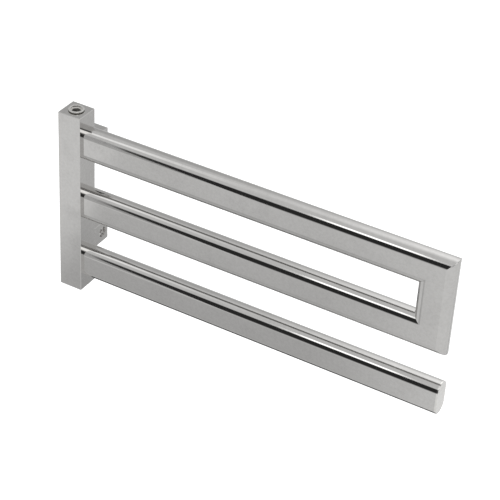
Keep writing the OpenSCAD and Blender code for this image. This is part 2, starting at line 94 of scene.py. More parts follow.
# Sizes of the cable inlet, all but the depth as radii
BUSH_BORE = 5 * MM
BUSH_THREAD = 8 * MM
FLANGE_EDGE = 0.35 * MM
THREAD_EDGE = 0.3 * MM
MOUTH = 6.8 * MM
MOUTH_DEPTH = 2.5 * MM
MOUTH_FILLET = 0.4 * MM

# Sizes of the brackets: bores as radii
BLOCK_EDGE = 0.4 * MM
LOCK_BORE = 6.5 * MM
LOCK_DEPTH = 5.5 * MM
FLANGE_BORE = 11.3 * MM
FLANGE_DEPTH = 3.3 * MM
SPIGOT_BORE = 7.15 * MM
SPIGOT_DEPTH = 20.3 * MM
SPIGOT_RADIUS = 7 * MM
GROOVE_RADIUS = 6 * MM
GROOVE_HALF = 3.5 * MM
SPIGOT_FLANGE = 11 * MM
FLANGE_THICK = 3 * MM
LOCK_Y = -11 * MM
WALL_HOLE = 2.6 * MM
LOCK_HEAD = 6.2 * MM
LOCK_HEAD_DEPTH = 3 * MM
LOCK_THREAD = 3 * MM
LOCK_SOCKET = 5 * MM
LOCK_SOCKET_DEPTH = 2 * MM

# Points round a turned shape, by its size
LARGE_TURN = 96
SMALL_TURN = 48
TENT_TURN = 180

# How often polishing and tool marks change per metre along X, Y and Z
EVEN_MARKS = (2500, 2500, 2500)
BAR_MARKS = (60, 4000, 4000)
POST_MARKS = (4000, 4000, 60)
SHEET_MARKS = (3000, 3000, 120)
SADDLE_MARKS = (80, 3000, 3000)

# Sizes of the surface effects in metres, and how often mottling changes per metre
SMALL_PATCH = 0.008
MOULDED_PATCH = 0.006
WAVE_LENGTH = 0.035
WAVE_HEIGHT = 10 * MICRON
LINE_HEIGHT = 0.4 * MICRON
INLET_HEIGHT = 2 * MICRON
MOTTLE_SCALE = 260.0

# How far each effect at its fullest brings a finish towards its worn tone
DUST_AMOUNT = 0.12
HAZE_TINT = 0.6
MOTTLE_TINT = 0.45
LINE_TINT = 0.35
MOULDED_HAZE_TINT = 0.5
GRAIN_TINT = 0.4

# Roughness that each effect at its fullest adds
LINE_ROUGHNESS = 0.015
METAL_ROUGHNESS = 0.2
RING_ROUGHNESS = 0.1
MOULDED_ROUGHNESS = 0.25
BORE_ROUGHNESS = 0.4

# Camera
CAMERA_PLACE = (0.9903, -1.4450, 1.1838)
CAMERA_AZIMUTH = math.radians(28.27)
CAMERA_ELEVATION = math.radians(34.77)
CAMERA_ROLL = math.radians(3.47)
CAMERA_LENS = 124.30
CAMERA_SENSOR = 36

# Studio: a light tent round the X axis, and a floor under the object
TENT_RADIUS = 5.0
TENT_TIP = 0.001
TENT_ENDS = (-8.0, 8.0)
FLOOR_LEVEL = -0.40
FLOOR_REACH = 6.0
FLOOR_LIFT = 0.45
FLOOR_TONES = (0.86, 0.88)
FLOOR_ROUGHNESS = 0.9
LAMP_SIZE = (1.2, 1.2)
LAMP_PLACE = (-0.3, -1.2, 1.6)
LAMP_POWER = 12.0


# Rings and skins

def rounded_rectangle(width, height, radius, arc_steps=12, flat_steps=1):
    """A rectangle's outline with round corners, anticlockwise, and its outward normals. Each
    corner's points stand at corner centre + radius * (cos a, sin a) over a quarter turn, and
    flat_steps - 1 points stand on the straight run that follows it."""
    quarter = np.linspace(0, math.pi / 2, arc_steps + 1)
    signs = np.array([(1, 1), (-1, 1), (-1, -1), (1, -1)], float)
    centres = signs * (width / 2 - radius, height / 2 - radius)
    angles = quarter[None, :] + np.arange(4)[:, None] * math.pi / 2
    arc_normals = np.stack([np.cos(angles), np.sin(angles)], -1)
    arcs = centres[:, None] + radius * arc_normals
    share = np.linspace(0, 1, flat_steps + 1)[1:-1, None]
    ends, starts = arcs[:, -1][:, None], np.roll(arcs, -1, 0)[:, 0][:, None]
    flats = ends + (starts - ends) * share[None]
    flat_normals = np.repeat(arc_normals[:, -1][:, None], flat_steps - 1, 1)
    points = np.concatenate([arcs, flats], 1).reshape(-1, 2)
    normals = np.concatenate([arc_normals, flat_normals], 1).reshape(-1, 2)
    return points, normals


def unit_circle(count):
    """count points evenly round a circle of radius 1, which are their own outward normals."""
    angles = np.arange(count) * FULL_TURN / count
    return np.stack([np.cos(angles), np.sin(angles)], -1)


def hexagon(count, across_flats):
    """count points round a hexagon: the radius at the angle a is half the size across flats
    over cos(a from the middle of the nearest flat). The normals are those of the flats."""
    angles = np.arange(count) * FULL_TURN / count
    sector = FULL_TURN / 6
    middle = np.round(angles / sector) * sector
    radius = across_flats / 2 / np.cos(angles - middle)
    points = np.stack([np.cos(angles), np.sin(angles)], -1) * radius[:, None]
    return points, np.stack([np.cos(middle), np.sin(middle)], -1)


class Place:
    """An origin and three unit directions: the section point (a, b) at the run s stands at
    origin + a * across + b * up + s * along."""

    def __init__(self, origin, across, up, along):
        self.origin = np.array(origin, float)
        self.axes = np.array([across, up, along], float)

    def points(self, section, run):
        """The section's points in space, at one run or at a run for each."""
        run = np.broadcast_to(run, len(section))
        return self.origin + np.column_stack([section, run]) @ self.axes

    def normals(self, section, run=0.0):
        """The section's directions in space, leaning by run along the place, at length 1."""
        run = np.broadcast_to(run, len(section))
        found = np.column_stack([section, run]) @ self.axes
        return found / np.linalg.norm(found, axis=1, keepdims=True)


# Across, up and along, for a run in each direction that is used
ALONG_X = ((0, 1, 0), (0, 0, 1), (1, 0, 0))
ALONG_Z = ((1, 0, 0), (0, 1, 0), (0, 0, 1))
DOWN_Y = ((1, 0, 0), (0, 0, 1), (0, -1, 0))


def ring(place, section, run, outward, lean=0.0):
    """One ring of a skin: the section's points at the run, with the outward section normals
    plus lean along the run."""
    return place.points(section, run), place.normals(outward, lean)


def flat_ring(place, section, run, side):
    """One ring whose normals all point along the run, to the given side."""
    return place.points(section, run), place.normals(np.zeros_like(section), side)


def round_edge(place, section, outward, run, radius, side, steps=5):
    """Rings of a quarter-round edge at the end of a run: at the angle a the section is drawn
    in by radius * (1 - cos a) and the run has radius * (1 - sin a) left to go."""
    found = []
    for angle in np.linspace(0, math.pi / 2, steps + 1):
        drawn = section - outward * radius * (1 - math.cos(angle))
        at = run - side * radius * (1 - math.sin(angle))
        found.append(ring(place, drawn, at, outward * math.cos(angle), side * math.sin(angle)))
    return found


def skin(rings, closed=False):
    """Quads between neighbouring rings, and between the last and the first if closed. A ring
    drawn in to one point closes the skin there. The rings run anticlockwise as seen from
    where they go, so that the faces point outward."""
    count = len(rings[0][0])
    points = np.concatenate([r[0] for r in rings])
    normals = np.concatenate([r[1] for r in rings])
    first = np.arange(len(rings) if closed else len(rings) - 1)[:, None] * count
    second = (first + count) % len(points)
    near, far = np.arange(count)[None, :], np.roll(np.arange(count), -1)[None, :]
    quads = np.stack([first + near, first + far, second + far, second + near], -1)
    return points, normals, quads.reshape(-1, 4)


def joined(*shapes):
    """Several (points, normals, quads) as one."""
    bases = np.cumsum([0] + [len(s[0]) for s in shapes])
    return (np.concatenate([s[0] for s in shapes]), np.concatenate([s[1] for s in shapes]),
            np.concatenate([s[2] + base for s, base in zip(shapes, bases)]))


def make_piece(name, shape, material, replaces=()):
    """A closed mesh from (points, normals, quads): points in one place become one vertex, each
    corner of a face keeps its own normal, a quad that loses a corner becomes a triangle, and
    one that loses its area goes."""
    points, normals, quads = shape
    keys = np.round(points / WELD_GAP).astype(np.int64)
    _, kept, index = np.unique(keys, axis=0, return_index=True, return_inverse=True)
    corners = index.reshape(-1)[quads]
    used = corners != np.roll(corners, -1, 1)
    used[used.sum(1) < 3] = False
    sizes = used.sum(1)
    starts = np.cumsum(sizes) - sizes
    mesh = bpy.data.meshes.new(name)
    mesh.vertices.add(len(kept))
    mesh.vertices.foreach_set("co", points[kept].astype(np.float32).ravel())
    mesh.loops.add(int(sizes.sum()))
    mesh.loops.foreach_set("vertex_index", corners[used].astype(np.int32))
    mesh.polygons.add(int((sizes > 0).sum()))
    mesh.polygons.foreach_set("loop_start", starts[sizes > 0].astype(np.int32))
    mesh.update(calc_edges=True)
    mesh.validate()
    mesh.normals_split_custom_set(normals[quads[used]].tolist())
    mesh.materials.append(material)
    piece = bpy.data.objects.new(name, mesh)
    bpy.context.scene.collection.objects.link(piece)
    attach(piece, "root")
    if replaces:
        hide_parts(*replaces)
    return piece


# Turned shapes

def soft_line(corners, steps=5, closed=False):
    """A line of (x, y, round) corners as rows of (x, y, normal x, normal y). Each round is an
    arc tangent to the two runs that meet at its corner, and a corner with no round is given
    twice, with the normals of both runs. Normals stand to the right of the line."""
    corners = [np.array(c, float) for c in corners]
    count = len(corners)
    rows = []

    def right_of(run):
        run = run / np.linalg.norm(run)
        return np.array([run[1], -run[0]])

    for i in range(count):
        here, radius = corners[i][:2], corners[i][2]
        before = corners[i - 1][:2] if closed or i > 0 else None
        after = corners[(i + 1) % count][:2] if closed or i < count - 1 else None
        if before is None or after is None:
            run = (after - here) if before is None else (here - before)
            rows.append((*here, *right_of(run)))
            continue
        n0, n1 = right_of(here - before), right_of(after - here)
        if radius == 0:
            rows += [(*here, *n0), (*here, *n1)]
            continue
        turn = math.atan2(n0[0] * n1[1] - n0[1] * n1[0], n0 @ n1)
        reach = radius * math.tan(abs(turn) / 2)
        direction = (here - before) / np.linalg.norm(here - before)
        side = 1.0 if turn < 0 else -1.0
        centre = here - direction * reach + side * n0 * radius
        start = math.atan2(n0[1], n0[0])
        for angle in start + turn * np.linspace(0, 1, steps + 1):
            normal = np.array([math.cos(angle), math.sin(angle)])
            rows.append((*(centre - side * normal * radius), *normal))
    return rows


def turned_rings(place, line, count=LARGE_TURN):
    """Rings of a line of (radius, run, normal outward, normal along) rows turned round the
    run: at each row the unit circle is drawn out to the radius."""
    circle = unit_circle(count)
    return [ring(place, circle * r, s, circle * nr, ns) for r, s, nr, ns in line]


# Boxes with round edges and wells

def box_shell(low, high, radius, wells, flat_steps=16, arc_steps=3):
    """A box with round edges. Over each face the direction runs (tan a, tan b, 1), with a and
    b from -45 to 45 degrees on the rounds and zero on the flat, and the surface stands at
    core + radius * direction / its length. wells maps (axis, side) to (middle across, middle
    up, rows of (radius, depth)) for round steps sunk into that face."""
    low, high = np.array(low, float), np.array(high, float)
    centre, core = (low + high) / 2, (high - low) / 2 - radius
    arc = np.tan(np.linspace(0, math.pi / 4, arc_steps + 1))
    flat = np.linspace(-1, 1, flat_steps + 1)[1:-1]
    lean = np.concatenate([-arc[::-1], np.zeros(flat_steps - 1), arc])
    share = np.concatenate([-np.ones(arc_steps + 1), flat, np.ones(arc_steps + 1)])
    count = len(lean)
    index = np.arange(count * count).reshape(count, count)
    cells = np.ones((count - 1, count - 1), bool)
    inner = slice(arc_steps, arc_steps + flat_steps)
    cells[inner, inner] = False
    edge = index[arc_steps:arc_steps + flat_steps + 1, arc_steps:arc_steps + flat_steps + 1]
    loop = np.concatenate([edge[:-1, 0], edge[-1, :-1], edge[:0:-1, -1], edge[0, :0:-1]])
    quads = np.stack([index[:-1, :-1], index[1:, :-1], index[1:, 1:], index[:-1, 1:]], -1)[cells]
    shapes = []
    for axis in range(3):
        for side in (1, -1):
            order = ((axis + 1) % 3, (axis + 2) % 3)[::side]
            axes = np.eye(3)[[order[0], order[1], axis]] * np.array([[1], [1], [side]])
            reach = core[[order[0], order[1], axis]]
            u, v = np.meshgrid(np.arange(count), np.arange(count), indexing="ij")
            normals = np.stack([lean[u], lean[v], np.ones_like(lean[u])], -1).reshape(-1, 3)
            normals /= np.linalg.norm(normals, axis=1, keepdims=True)
            local = np.stack([share[u] * reach[0], share[v] * reach[1],
                              np.full(u.shape, reach[2])], -1).reshape(-1, 3)
            local += radius * normals
            shapes.append((centre + local @ axes, normals @ axes, quads))
            place = Place(centre, *axes)
            outline = local[loop, :2]
            face = reach[2] + radius
            middle_a, middle_b, steps = wells.get((axis, side), (0.0, 0.0, ()))
            middle = np.array([middle_a, middle_b])
            toward = outline - middle
            toward /= np.linalg.norm(toward, axis=1, keepdims=True)
            rings = [flat_ring(place, outline, face, 1.0)]
            depth = 0.0
            for step_radius, step_depth in steps:
                hole = middle + toward * step_radius
                rings += [flat_ring(place, hole, face - depth, 1.0),
                          ring(place, hole, face - depth, -toward),
                          ring(place, hole, face - step_depth, -toward),
                          flat_ring(place, hole, face - step_depth, 1.0)]
                depth = step_depth
            rings.append(flat_ring(place, outline * 0 + middle, face - depth, 1.0))
            shapes.append(skin(rings))
    return joined(*shapes)


# Bars

def bar_sections():
    """The bar tube's outer and inner outlines, (depth, height), with their normals."""
    outer = rounded_rectangle(BAR_DEPTH, BAR_HEIGHT, BAR_CORNER, BAR_ARC_STEPS)
    inner = rounded_rectangle(BAR_DEPTH - 2 * BAR_WALL, BAR_HEIGHT - 2 * BAR_WALL,
                              BAR_CORNER - BAR_WALL, BAR_ARC_STEPS)
    return outer, inner


def bar_tube(place, starts, ends, leans):
    """A tube with the bars' section. starts and ends give the run at a section point (a, b)
    as (run at the middle, change of run per unit of b), so a change of 1 is a mitre. leans
    tilt the normals of the end rings to halfway over the mitre, which shows as the soft
    line of a ground weld."""
    (outer, outward), (inner, inward) = bar_sections()
    halfway = outward * (2, 1)

    def at(end, section, back=0.0):
        return end[0] + back + end[1] * section[:, 1]

    rings = [ring(place, outer, at(starts, outer), halfway if leans[0] else outward,
                  leans[0] * outward[:, 1]),
             ring(place, outer, at(starts, outer, MITRE_BLEND), outward),
             ring(place, outer, at(ends, outer, -MITRE_BLEND), outward),
             ring(place, outer, at(ends, outer), halfway if leans[1] else outward,
                  leans[1] * outward[:, 1]),
             flat_ring(place, outer, at(ends, outer), 1.0),
             flat_ring(place, inner, at(ends, inner), 1.0),
             ring(place, inner, at(ends, inner), -inward),
             ring(place, inner, at(starts, inner), -inward),
             flat_ring(place, inner, at(starts, inner), -1.0),
             flat_ring(place, outer, at(starts, outer), -1.0)]
    return skin(rings, closed=True)


def bar_cap():
    """The plate that closes the bottom bar: the bar's outline with a soft outer edge."""
    (outer, outward), _ = bar_sections()
    place = Place((0, BAR_Y, BAR_ZS[0]), *ALONG_X)
    rings = [flat_ring(place, outer * 0, BOTTOM_HIGH[0], -1.0),
             flat_ring(place, outer, BOTTOM_HIGH[0], -1.0),
             ring(place, outer, BOTTOM_HIGH[0], outward)]
    rings += round_edge(place, outer, outward, CAP_END, CAP_EDGE, 1.0)
    rings.append(flat_ring(place, outer * 0, CAP_END, 1.0))
    return skin(rings)


def build_bars(material, end_material):
    """The U's two bars and its mitred end, and the free bar with its end plate."""
    corner = BAR_END - BAR_HEIGHT / 2
    low, middle, top = (Place((0, BAR_Y, z), *ALONG_X) for z in BAR_ZS)
    side = Place((corner, BAR_Y, 0), (0, -1, 0), (1, 0, 0), (0, 0, 1))
    runs = (("upper_rail", "top_bar", top, (BAR_ROOT, 0), (corner, 1), (0.0, 1.0)),
            ("middle_rail", "middle_bar", middle, (BAR_ROOT, 0), (corner, -1), (0.0, -1.0)),
            ("end_rail", "end_bar", side, (BAR_ZS[1], -1), (BAR_ZS[2], 1), (-1.0, 1.0)),
            ("lower_rail", "bottom_bar", low, (BAR_ROOT, 0), (BOTTOM_HIGH[0], 0), (0.0, 0.0)))
    for name, node, place, starts, ends, leans in runs:
        make_piece(name, bar_tube(place, starts, ends, leans), material,
                   [node])
    make_piece("lower_rail_end", bar_cap(), end_material, ["bottom_bar_cap"])


# Post

def post_sections():
    """The post's outer outline and its square bore, with as many points each."""
    width, depth = POST_HIGH[0] - POST_LOW[0], POST_HIGH[1] - POST_LOW[1]
    outer = rounded_rectangle(width, depth, POST_CORNER, POST_ARC_STEPS, POST_FLAT_STEPS)
    inner = rounded_rectangle(width - 2 * POST_WALL, depth - 2 * POST_WALL, FINE_EDGE,
                              POST_ARC_STEPS, POST_FLAT_STEPS)
    return outer, inner


def hole_like(section, radius):
    """A circle with a point in the direction of each point of the section."""
    directions = section / np.linalg.norm(section, axis=1, keepdims=True)
    return directions * radius, directions


def post_shell():
    """The post as one hollow shell: outside from the foot up, over the soft edge to the hole
    in the top, down through the plate, out to the bore's walls and down inside."""
    (outer, outward), (inner, inward) = post_sections()
    hole, from_hole = hole_like(outer, PLATE_HOLE)
    low, high = POST_LOW[2], PLATE_TOP
    place = Place(POST_AXIS, *ALONG_Z)
    rings = [flat_ring(place, inner, low, -1.0), flat_ring(place, outer, low, -1.0),
             ring(place, outer, low, outward)]
    rings += round_edge(place, outer, outward, high, POST_CORNER, 1.0)
    under = high - PLATE
    rings += [flat_ring(place, hole, high, 1.0), ring(place, hole, high, -from_hole),
              ring(place, hole, under, -from_hole), flat_ring(place, hole, under, -1.0),
              flat_ring(place, inner, under, -1.0),
              ring(place, inner, under, -inward), ring(place, inner, low, -inward)]
    return skin(rings, closed=True)


def foot_plate():
    """The plate under the post, with a countersunk hole through it: a cone from the sink's
    rim down to the screw's bore at 45 degrees."""
    (outer, outward), _ = post_sections()
    low, high = FOOT_LOW, POST_LOW[2]
    place = Place(POST_AXIS, *ALONG_Z)
    bore, from_bore = hole_like(outer, FOOT_BORE)
    rim, _ = hole_like(outer, FOOT_RIM)
    depth = FOOT_RIM - FOOT_BORE
    rings = [flat_ring(place, outer, high, 1.0), flat_ring(place, bore, high, 1.0),
             ring(place, bore, high, -from_bore), ring(place, bore, low + depth, -from_bore),
             ring(place, bore, low + depth, -from_bore, -1.0),
             ring(place, rim, low, -from_bore, -1.0), flat_ring(place, rim, low, -1.0)]
    rings += round_edge(place, outer, outward, low, POST_CORNER, -1.0)[::-1]
    rings.append(ring(place, outer, high, outward))
    return skin(rings, closed=True)


def socket_rings(place, count, face, depth, across_flats, side):
    """Rings from the face down the walls of a hexagon socket to the middle of its floor."""
    walls, from_middle = hexagon(count, across_flats)
    floor = face - side * depth
    return [flat_ring(place, walls, face, side), ring(place, walls, face, -from_middle),
            ring(place, walls, floor, -from_middle), flat_ring(place, walls, floor, side),
            flat_ring(place, walls * 0, floor, side)]


def foot_screw(tip):
    """The countersunk screw in the foot, its head's face down, with a hexagon socket."""
    place = Place((POST_MID[0], POST_MID[1], FOOT_LOW), *ALONG_Z)
    rings = socket_rings(place, SMALL_TURN, 0.0, FOOT_SOCKET_DEPTH, FOOT_SOCKET, -1.0)[::-1]
    line = soft_line([(FOOT_THREAD, 0, 0), (FOOT_HEAD, 0, FINE_EDGE / 2),
                      (FOOT_THREAD, FOOT_HEAD - FOOT_THREAD, 0), (FOOT_THREAD, tip, FINE_EDGE),
                      (0, tip, 0)])
    return skin(rings + turned_rings(place, line, SMALL_TURN))


def build_post(material, screw_steel):
    """The post with its top plate in one skin, the plate under it and that plate's screw."""
    make_piece("upright_post", post_shell(), material,
               ["post_tube", "post_top_plate"])
    make_piece("foot_plate", foot_plate(), material, ["foot_cover"])
    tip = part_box("foot_cover_screw")[1].z - FOOT_LOW
    make_piece("foot_screw", foot_screw(tip), screw_steel, ["foot_cover_screw"])


# Cable inlet

def build_inlet(material, rubber):
    """The flanged bush on the top plate, turned, with the gasket under its flange."""
    low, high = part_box("inlet_bush")
    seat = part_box("inlet_seal_ring")
    place = Place(POST_AXIS, *ALONG_Z)
    flange = (high.x - low.x) / 2
    seal_top, seal_low = seat[1].z, seat[0].z
    mouth_floor = high.z - MOUTH_DEPTH
    line = soft_line([(BUSH_BORE, low.z, 0), (BUSH_THREAD, low.z, THREAD_EDGE),
                      (BUSH_THREAD, seal_top, 0), (flange, seal_top, FINE_EDGE),
                      (flange, high.z, FLANGE_EDGE), (MOUTH, high.z, FLANGE_EDGE),
                      (MOUTH, mouth_floor, MOUTH_FILLET), (BUSH_BORE, mouth_floor, THREAD_EDGE)],
                     closed=True)
    make_piece("cable_inlet", skin(turned_rings(place, line), closed=True), material,
               ["inlet_bush"])
    outer = (seat[1].x - seat[0].x) / 2
    inner = BUSH_THREAD + FINE_EDGE
    rounding = (seal_top - seal_low) / 2 - FINE_EDGE
    line = soft_line([(inner, seal_low, 0), (outer, seal_low, rounding),
                      (outer, seal_top, rounding), (inner, seal_top, 0)], closed=True)
    make_piece("inlet_gasket", skin(turned_rings(place, line), closed=True), rubber,
               ["inlet_seal_ring"])


# Brackets

def lock_screw(centre_z, face):
    """The screw that locks a bracket on its spigot: a flat head with a soft rim and a hexagon
    socket, and its thread into the spigot's groove."""
    place = Place((0, LOCK_Y, centre_z), *ALONG_X)
    under = face - LOCK_HEAD_DEPTH
    line = soft_line([(0, GROOVE_RADIUS, 0), (LOCK_THREAD, GROOVE_RADIUS, FINE_EDGE),
                      (LOCK_THREAD, under, 0), (LOCK_HEAD, under, FINE_EDGE),
                      (LOCK_HEAD, face, 2 * FINE_EDGE), (LOCK_SOCKET, face, 0)])
    rings = turned_rings(place, line)
    rings += socket_rings(place, LARGE_TURN, face, LOCK_SOCKET_DEPTH, LOCK_SOCKET, 1.0)
    return skin(rings)


def wall_spigot(centre_z, tip):
    """The turned spigot on the wall: a flange, a shank with the groove that the lock screw
    bites in, and the wall screw's hole, countersunk at the tip."""
    place = Place((0, 0, centre_z), *DOWN_Y)
    groove_low, groove_high = -LOCK_Y - GROOVE_HALF, -LOCK_Y + GROOVE_HALF
    line = soft_line([(WALL_HOLE, 0, FINE_EDGE), (SPIGOT_FLANGE, 0, FINE_EDGE),
                      (SPIGOT_FLANGE, FLANGE_THICK, 2 * FINE_EDGE),
                      (SPIGOT_RADIUS, FLANGE_THICK, 0),
                      (SPIGOT_RADIUS, groove_low, 0), (GROOVE_RADIUS, groove_low, FINE_EDGE),
                      (GROOVE_RADIUS, groove_high, FINE_EDGE), (SPIGOT_RADIUS, groove_high, 0),
                      (SPIGOT_RADIUS, tip, 2 * FINE_EDGE), (2 * WALL_HOLE, tip, 0),
                      (WALL_HOLE, tip - WALL_HOLE, 0)], closed=True)
    return skin(turned_rings(place, line), closed=True)


def build_brackets(material, steel, screw_steel):
    """Two blocks with a well at the back for the wall spigot and one in the side for the lock
    screw, and the spigots and screws in them."""
    for name in ("lower", "upper"):
        low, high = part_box(name + "_bracket_block")
        centre_z = (low.z + high.z) / 2
        lock_middle = LOCK_Y - (low.y + high.y) / 2
        wells = {(0, 1): (lock_middle, 0.0, ((LOCK_BORE, LOCK_DEPTH),)),
                 (1, 1): (0.0, 0.0, ((FLANGE_BORE, FLANGE_DEPTH), (SPIGOT_BORE, SPIGOT_DEPTH)))}
        make_piece(name + "_bracket", box_shell(low, high, BLOCK_EDGE, wells), material,
                   [name + "_bracket_block"])
        tip = -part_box(name + "_wall_spigot")[0].y
        make_piece(name + "_spigot", wall_spigot(centre_z, tip), steel,
                   [name + "_wall_spigot"])
    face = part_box("bracket_lock_screws")[1].x
    centres = [(low.z + high.z) / 2 for low, high in
               (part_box("lower_bracket_block"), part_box("upper_bracket_block"))]
    make_piece("lock_screws", joined(*(lock_screw(z, face) for z in centres)), screw_steel,
               ["bracket_lock_screws"])


# Node helpers

class Tree:
    """Short calls for making and linking the nodes of one material, world or group."""

    def __init__(self, tree):
        self.nodes = tree.nodes
        self.links = tree.links

    def add(self, kind, inputs=None, **settings):
        """A node with its settings, and its inputs set to values or linked to sockets."""
        node = self.nodes.new("ShaderNode" + kind)
        for key, value in settings.items():
            setattr(node, key, value)
        for key, value in (inputs or {}).items():
            self.put(node.inputs[key], value)
        return node

    def put(self, socket, value):
        """A socket linked to another, or set to a plain value."""
        if isinstance(value, bpy.types.NodeSocket):
            self.links.new(value, socket)
        else:
            socket.default_value = value

    def math(self, operation, a, b=0.0, clamp=False):
        """A sum, product or other operation on one or two values."""
        node = self.add("Math", {0: a, 1: b}, operation=operation, use_clamp=clamp)
        return node.outputs[0]

    def spread(self, value, low, high, to_low=0.0, to_high=1.0, curve="LINEAR"):
        """The value mapped from one range to another, held at the ends."""
        node = self.add("MapRange", {"Value": value, "From Min": low, "From Max": high,
                                     "To Min": to_low, "To Max": to_high},
                        interpolation_type=curve)
        return node.outputs["Result"]

    def noise(self, vector, scale, detail=2.0, roughness=0.5):
        """Smooth noise from 0 to 1 that changes scale times a metre."""
        node = self.add("TexNoise", {"Vector": vector, "Scale": scale, "Detail": detail,
                                     "Roughness": roughness})
        return node.outputs["Fac"]

    def group(self, group, **inputs):
        """A node of the group, with _ for the spaces in its inputs' names."""
        node = self.nodes.new("ShaderNodeGroup")
        node.node_tree = group
        for key, value in inputs.items():
            self.put(node.inputs[key.replace("_", " ")], value)
        return node

    def mix_colour(self, factor, a, b):
        """The colour a at the factor 0 and b at 1."""
        node = self.add("Mix", {"Factor": factor, "A": a, "B": b}, data_type="RGBA")
        return node.outputs["Result"]


def new_group(name, inputs, outputs):
    """A shader node group: inputs as (name, kind, value), outputs as (name, kind). Returns the
    group, its tree's helper, its input sockets and a function that sets the outputs."""
    group = bpy.data.node_groups.new(name, "ShaderNodeTree")
    for label, kind, value in inputs:
        socket = group.interface.new_socket(label, in_out="INPUT", socket_type="NodeSocket" + kind)
        if value is not None:
            socket.default_value = value
    for label, kind in outputs:
        group.interface.new_socket(label, in_out="OUTPUT", socket_type="NodeSocket" + kind)
    tree = Tree(group)
    entry = group.nodes.new("NodeGroupInput")
    finish = group.nodes.new("NodeGroupOutput")

    def give(**results):
        for key, value in results.items():
            tree.put(finish.inputs[key.replace("_", " ")], value)

    return group, tree, entry.outputs, give


# Shared surface effects

def make_haze_group():
    """Handling marks on a polished face: broad cloudy patches with finer streaks in them."""
    group, tree, given, give = new_group(
        "handling_haze", [("Vector", "Vector", None), ("Patch size", "Float", 0.03)],
        [("Haze", "Float")])
    scale = tree.math("DIVIDE", 1.0, given["Patch size"])
    finer = tree.math("MULTIPLY", scale, 7.0)
    patches = tree.noise(given["Vector"], scale, detail=4.0, roughness=0.6)
    streaks = tree.noise(given["Vector"], finer, detail=3.0, roughness=0.7)
    cloud = tree.spread(patches, 0.42, 0.72, curve="SMOOTHSTEP")
    give(Haze=tree.math("MULTIPLY", cloud, tree.spread(streaks, 0.3, 0.7, 0.4, 1.0)))
    return group


def make_lines_group():
    """Fine lines left by polishing or turning: noise drawn out along one direction. Stretch
    holds how often the noise changes per metre along each axis."""
    group, tree, given, give = new_group(
        "polishing_lines", [("Vector", "Vector", None), ("Stretch", "Vector", (1, 1, 1))],
        [("Height", "Float"), ("Lines", "Float")])
    moved = tree.add("VectorMath", {0: given["Vector"], 1: given["Stretch"]},
                     operation="MULTIPLY").outputs[0]
    fine = tree.noise(moved, 1.0, detail=3.0, roughness=0.65)
    give(Height=fine, Lines=tree.spread(fine, 0.35, 0.65))
    return group


def make_wave_group():
    """The slow waviness of a ground and polished tube: noise that changes once a wave length."""
    group, tree, given, give = new_group(
        "polished_wave", [("Vector", "Vector", None), ("Wave length", "Float", 0.03)],
        [("Height", "Float")])
    scale = tree.math("DIVIDE", 1.0, given["Wave length"])
    give(Height=tree.noise(given["Vector"], scale, detail=1.0, roughness=0.4))
    return group


def make_dust_group():
    """Dust that settles on faces that look up, in fine uneven specks."""
    group, tree, given, give = new_group(
        "settled_dust", [("Vector", "Vector", None), ("Amount", "Float", 0.2)],
        [("Dust", "Float")])
    normal = tree.add("NewGeometry").outputs["Normal"]
    up = tree.add("SeparateXYZ", {0: normal}).outputs["Z"]
    facing = tree.spread(up, 0.55, 1.0)
    grains = tree.noise(given["Vector"], 900.0, detail=3.0, roughness=0.7)
    specks = tree.spread(grains, 0.52, 0.75)
    give(Dust=tree.math("MULTIPLY", tree.math("MULTIPLY", facing, specks), given["Amount"]))
    return group


# Materials

def new_material(name):
    """A material with its tree helper, Principled shader and object coordinates."""
    material = bpy.data.materials.new(name)
    material.use_nodes = True
    tree = Tree(material.node_tree)
    shader = material.node_tree.nodes["Principled BSDF"]
    place = tree.add("TexCoord").outputs["Object"]
    return material, tree, shader, place


def finish_shader(tree, shader, colour, roughness, bump_inputs):
    """The shader's colour and roughness, and its normal from a bump."""
    tree.put(shader.inputs["Base Color"], colour)
    tree.put(shader.inputs["Roughness"], roughness)
    tree.put(shader.inputs["Normal"], tree.add("Bump", bump_inputs).outputs["Normal"])


def polished_metal(name, tint, dull_tint, shine, haze_shine, groups, stretch):
    """A mirror-polished metal: tint where clean and dull_tint under haze, with roughness from
    shine to haze_shine, slow waves and faint polishing lines."""
    material, tree, shader, place = new_material(name)
    haze = tree.group(groups["haze"], Vector=place).outputs["Haze"]
    dust = tree.group(groups["dust"], Vector=place, Amount=DUST_AMOUNT).outputs["Dust"]
    lines = tree.group(groups["lines"], Vector=place, Stretch=stretch).outputs
    soiled = tree.math("ADD", haze, dust, clamp=True)
    specks = tree.noise(place, MOTTLE_SCALE, detail=3.0, roughness=0.7)
    mottle = tree.spread(specks, 0.38, 0.62, 0.0, MOTTLE_TINT)
    tone = tree.math("ADD", tree.math("MULTIPLY", soiled, HAZE_TINT), mottle, clamp=True)
    rough = tree.spread(soiled, 0.0, 1.0, shine, haze_shine)
    fine = tree.spread(lines["Lines"], 0.0, 1.0, 0.0, LINE_ROUGHNESS)
    wave = tree.group(groups["wave"], Vector=place, Wave_length=WAVE_LENGTH).outputs["Height"]
    slow = tree.add("Bump", {"Height": wave, "Distance": WAVE_HEIGHT, "Strength": 1.0})
    shader.inputs["Metallic"].default_value = 1.0
    finish_shader(tree, shader, tree.mix_colour(tone, tint, dull_tint),
                  tree.math("ADD", rough, fine),
                  {"Height": lines["Height"], "Distance": LINE_HEIGHT, "Strength": 0.6,
                   "Normal": slow.outputs["Normal"]})
    return material


